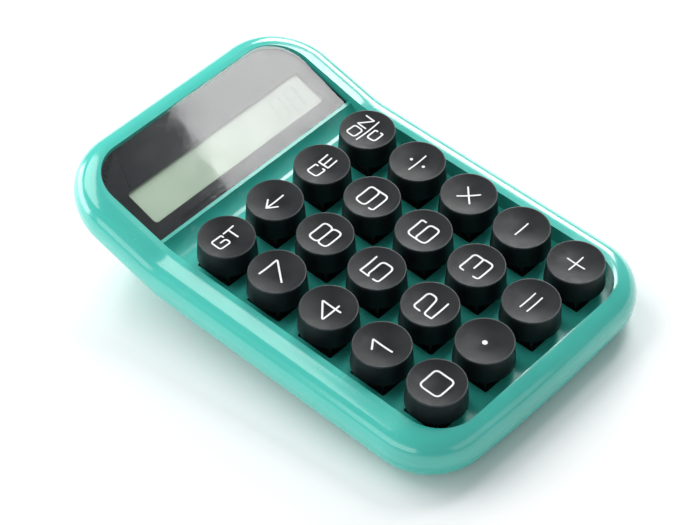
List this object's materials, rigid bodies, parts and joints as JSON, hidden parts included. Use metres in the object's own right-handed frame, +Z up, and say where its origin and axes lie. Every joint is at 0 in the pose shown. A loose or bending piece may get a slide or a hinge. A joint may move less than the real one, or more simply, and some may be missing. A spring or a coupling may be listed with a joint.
{
  "type": "desk calculator",
  "caption": "Glossy mint desk calculator with round black mechanical keys in a sunken tray and a raised, tilted black display panel.",
  "frame": {"origin": "on the desk, under the middle of the calculator's outline", "axes": "+Z up, +Y from the user towards the display, +X to the user's right"},
  "size_m": [0.1322, 0.2032, 0.0512],
  "materials": {
    "top_case": "glossy mint moulded plastic",
    "bottom_case": "glossy mint moulded plastic",
    "switch_plate": "black painted steel sheet",
    "main_pcb": "green glass-epoxy circuit board",
    "switch_lower_housings": "black nylon",
    "switch_upper_housings": "black nylon",
    "switch_springs": "spring steel",
    "switch_contacts": "copper alloy leaf",
    "display_lens": "clear glossy acrylic",
    "display_mask": "black print behind the lens",
    "lcd_glass": "grey-green reflective liquid crystal glass",
    "lcd_frame": "black moulded frame",
    "display_board": "green glass-epoxy circuit board",
    "display_cable": "amber polyimide ribbon",
    "battery_door": "satin mint moulded plastic",
    "aaa_cells": "sleeved steel can",
    "battery_contacts": "nickel-plated spring steel",
    "rubber_feet": "matt black rubber",
    "case_screws": "zinc-plated steel",
    "pcb_screws": "zinc-plated steel",
    "keycap": "satin black moulded plastic",
    "stem": "blue acetal slider"
  },
  "bodies": {
    "case": {"top_case": "top_case", "bottom_case": "bottom_case", "switch_plate": "switch_plate", "main_pcb": "main_pcb", "switch_lower_housings": "switch_lower_housings", "switch_upper_housings": "switch_upper_housings", "switch_springs": "switch_springs", "switch_contacts": "switch_contacts", "display_lens": "display_lens", "display_mask": "display_mask", "lcd_glass": "lcd_glass", "lcd_frame": "lcd_frame", "display_board": "display_board", "display_cable": "display_cable", "aaa_cells": "aaa_cells", "battery_contacts": "battery_contacts", "rubber_feet": "rubber_feet", "case_screws": "case_screws", "pcb_screws": "pcb_screws"},
    "battery_door": {"battery_door": "battery_door"},
    "key_grand_total": {"keycap_grand_total": "keycap", "stem_grand_total": "stem"},
    "key_backspace": {"keycap_backspace": "keycap", "stem_backspace": "stem"},
    "key_clear_entry": {"keycap_clear_entry": "keycap", "stem_clear_entry": "stem"},
    "key_on_clear": {"keycap_on_clear": "keycap", "stem_on_clear": "stem"},
    "key_seven": {"keycap_seven": "keycap", "stem_seven": "stem"},
    "key_eight": {"keycap_eight": "keycap", "stem_eight": "stem"},
    "key_nine": {"keycap_nine": "keycap", "stem_nine": "stem"},
    "key_divide": {"keycap_divide": "keycap", "stem_divide": "stem"},
    "key_four": {"keycap_four": "keycap", "stem_four": "stem"},
    "key_five": {"keycap_five": "keycap", "stem_five": "stem"},
    "key_six": {"keycap_six": "keycap", "stem_six": "stem"},
    "key_multiply": {"keycap_multiply": "keycap", "stem_multiply": "stem"},
    "key_one": {"keycap_one": "keycap", "stem_one": "stem"},
    "key_two": {"keycap_two": "keycap", "stem_two": "stem"},
    "key_three": {"keycap_three": "keycap", "stem_three": "stem"},
    "key_minus": {"keycap_minus": "keycap", "stem_minus": "stem"},
    "key_zero": {"keycap_zero": "keycap", "stem_zero": "stem"},
    "key_point": {"keycap_point": "keycap", "stem_point": "stem"},
    "key_equals": {"keycap_equals": "keycap", "stem_equals": "stem"},
    "key_plus": {"keycap_plus": "keycap", "stem_plus": "stem"}
  },
  "joints": [
    {"name": "press_grand_total", "type": "slide", "parent": "case", "child": "key_grand_total", "axis": [0, 0.0924, -0.9957], "range_m": [0, 0.004], "stiffness_N_per_m": 75, "springref_m": -0.004, "deforming": ["switch_springs"]},
    {"name": "press_backspace", "type": "slide", "parent": "case", "child": "key_backspace", "axis": [0, 0.0924, -0.9957], "range_m": [0, 0.004], "stiffness_N_per_m": 75, "springref_m": -0.004, "deforming": ["switch_springs"]},
    {"name": "press_clear_entry", "type": "slide", "parent": "case", "child": "key_clear_entry", "axis": [0, 0.0924, -0.9957], "range_m": [0, 0.004], "stiffness_N_per_m": 75, "springref_m": -0.004, "deforming": ["switch_springs"]},
    {"name": "press_on_clear", "type": "slide", "parent": "case", "child": "key_on_clear", "axis": [0, 0.0924, -0.9957], "range_m": [0, 0.004], "stiffness_N_per_m": 75, "springref_m": -0.004, "deforming": ["switch_springs"]},
    {"name": "press_seven", "type": "slide", "parent": "case", "child": "key_seven", "axis": [0, 0.0924, -0.9957], "range_m": [0, 0.004], "stiffness_N_per_m": 75, "springref_m": -0.004, "deforming": ["switch_springs"]},
    {"name": "press_eight", "type": "slide", "parent": "case", "child": "key_eight", "axis": [0, 0.0924, -0.9957], "range_m": [0, 0.004], "stiffness_N_per_m": 75, "springref_m": -0.004, "deforming": ["switch_springs"]},
    {"name": "press_nine", "type": "slide", "parent": "case", "child": "key_nine", "axis": [0, 0.0924, -0.9957], "range_m": [0, 0.004], "stiffness_N_per_m": 75, "springref_m": -0.004, "deforming": ["switch_springs"]},
    {"name": "press_divide", "type": "slide", "parent": "case", "child": "key_divide", "axis": [0, 0.0924, -0.9957], "range_m": [0, 0.004], "stiffness_N_per_m": 75, "springref_m": -0.004, "deforming": ["switch_springs"]},
    {"name": "press_four", "type": "slide", "parent": "case", "child": "key_four", "axis": [0, 0.0924, -0.9957], "range_m": [0, 0.004], "stiffness_N_per_m": 75, "springref_m": -0.004, "deforming": ["switch_springs"]},
    {"name": "press_five", "type": "slide", "parent": "case", "child": "key_five", "axis": [0, 0.0924, -0.9957], "range_m": [0, 0.004], "stiffness_N_per_m": 75, "springref_m": -0.004, "deforming": ["switch_springs"]},
    {"name": "press_six", "type": "slide", "parent": "case", "child": "key_six", "axis": [0, 0.0924, -0.9957], "range_m": [0, 0.004], "stiffness_N_per_m": 75, "springref_m": -0.004, "deforming": ["switch_springs"]},
    {"name": "press_multiply", "type": "slide", "parent": "case", "child": "key_multiply", "axis": [0, 0.0924, -0.9957], "range_m": [0, 0.004], "stiffness_N_per_m": 75, "springref_m": -0.004, "deforming": ["switch_springs"]},
    {"name": "press_one", "type": "slide", "parent": "case", "child": "key_one", "axis": [0, 0.0924, -0.9957], "range_m": [0, 0.004], "stiffness_N_per_m": 75, "springref_m": -0.004, "deforming": ["switch_springs"]},
    {"name": "press_two", "type": "slide", "parent": "case", "child": "key_two", "axis": [0, 0.0924, -0.9957], "range_m": [0, 0.004], "stiffness_N_per_m": 75, "springref_m": -0.004, "deforming": ["switch_springs"]},
    {"name": "press_three", "type": "slide", "parent": "case", "child": "key_three", "axis": [0, 0.0924, -0.9957], "range_m": [0, 0.004], "stiffness_N_per_m": 75, "springref_m": -0.004, "deforming": ["switch_springs"]},
    {"name": "press_minus", "type": "slide", "parent": "case", "child": "key_minus", "axis": [0, 0.0924, -0.9957], "range_m": [0, 0.004], "stiffness_N_per_m": 75, "springref_m": -0.004, "deforming": ["switch_springs"]},
    {"name": "press_zero", "type": "slide", "parent": "case", "child": "key_zero", "axis": [0, 0.0924, -0.9957], "range_m": [0, 0.004], "stiffness_N_per_m": 75, "springref_m": -0.004, "deforming": ["switch_springs"]},
    {"name": "press_point", "type": "slide", "parent": "case", "child": "key_point", "axis": [0, 0.0924, -0.9957], "range_m": [0, 0.004], "stiffness_N_per_m": 75, "springref_m": -0.004, "deforming": ["switch_springs"]},
    {"name": "press_equals", "type": "slide", "parent": "case", "child": "key_equals", "axis": [0, 0.0924, -0.9957], "range_m": [0, 0.004], "stiffness_N_per_m": 75, "springref_m": -0.004, "deforming": ["switch_springs"]},
    {"name": "press_plus", "type": "slide", "parent": "case", "child": "key_plus", "axis": [0, 0.0924, -0.9957], "range_m": [0, 0.004], "stiffness_N_per_m": 75, "springref_m": -0.004, "deforming": ["switch_springs"]},
    {"name": "battery_door_slide", "type": "slide", "parent": "case", "child": "battery_door", "axis": [0, 1, 0], "range_m": [0, 0.03]}
  ]
}
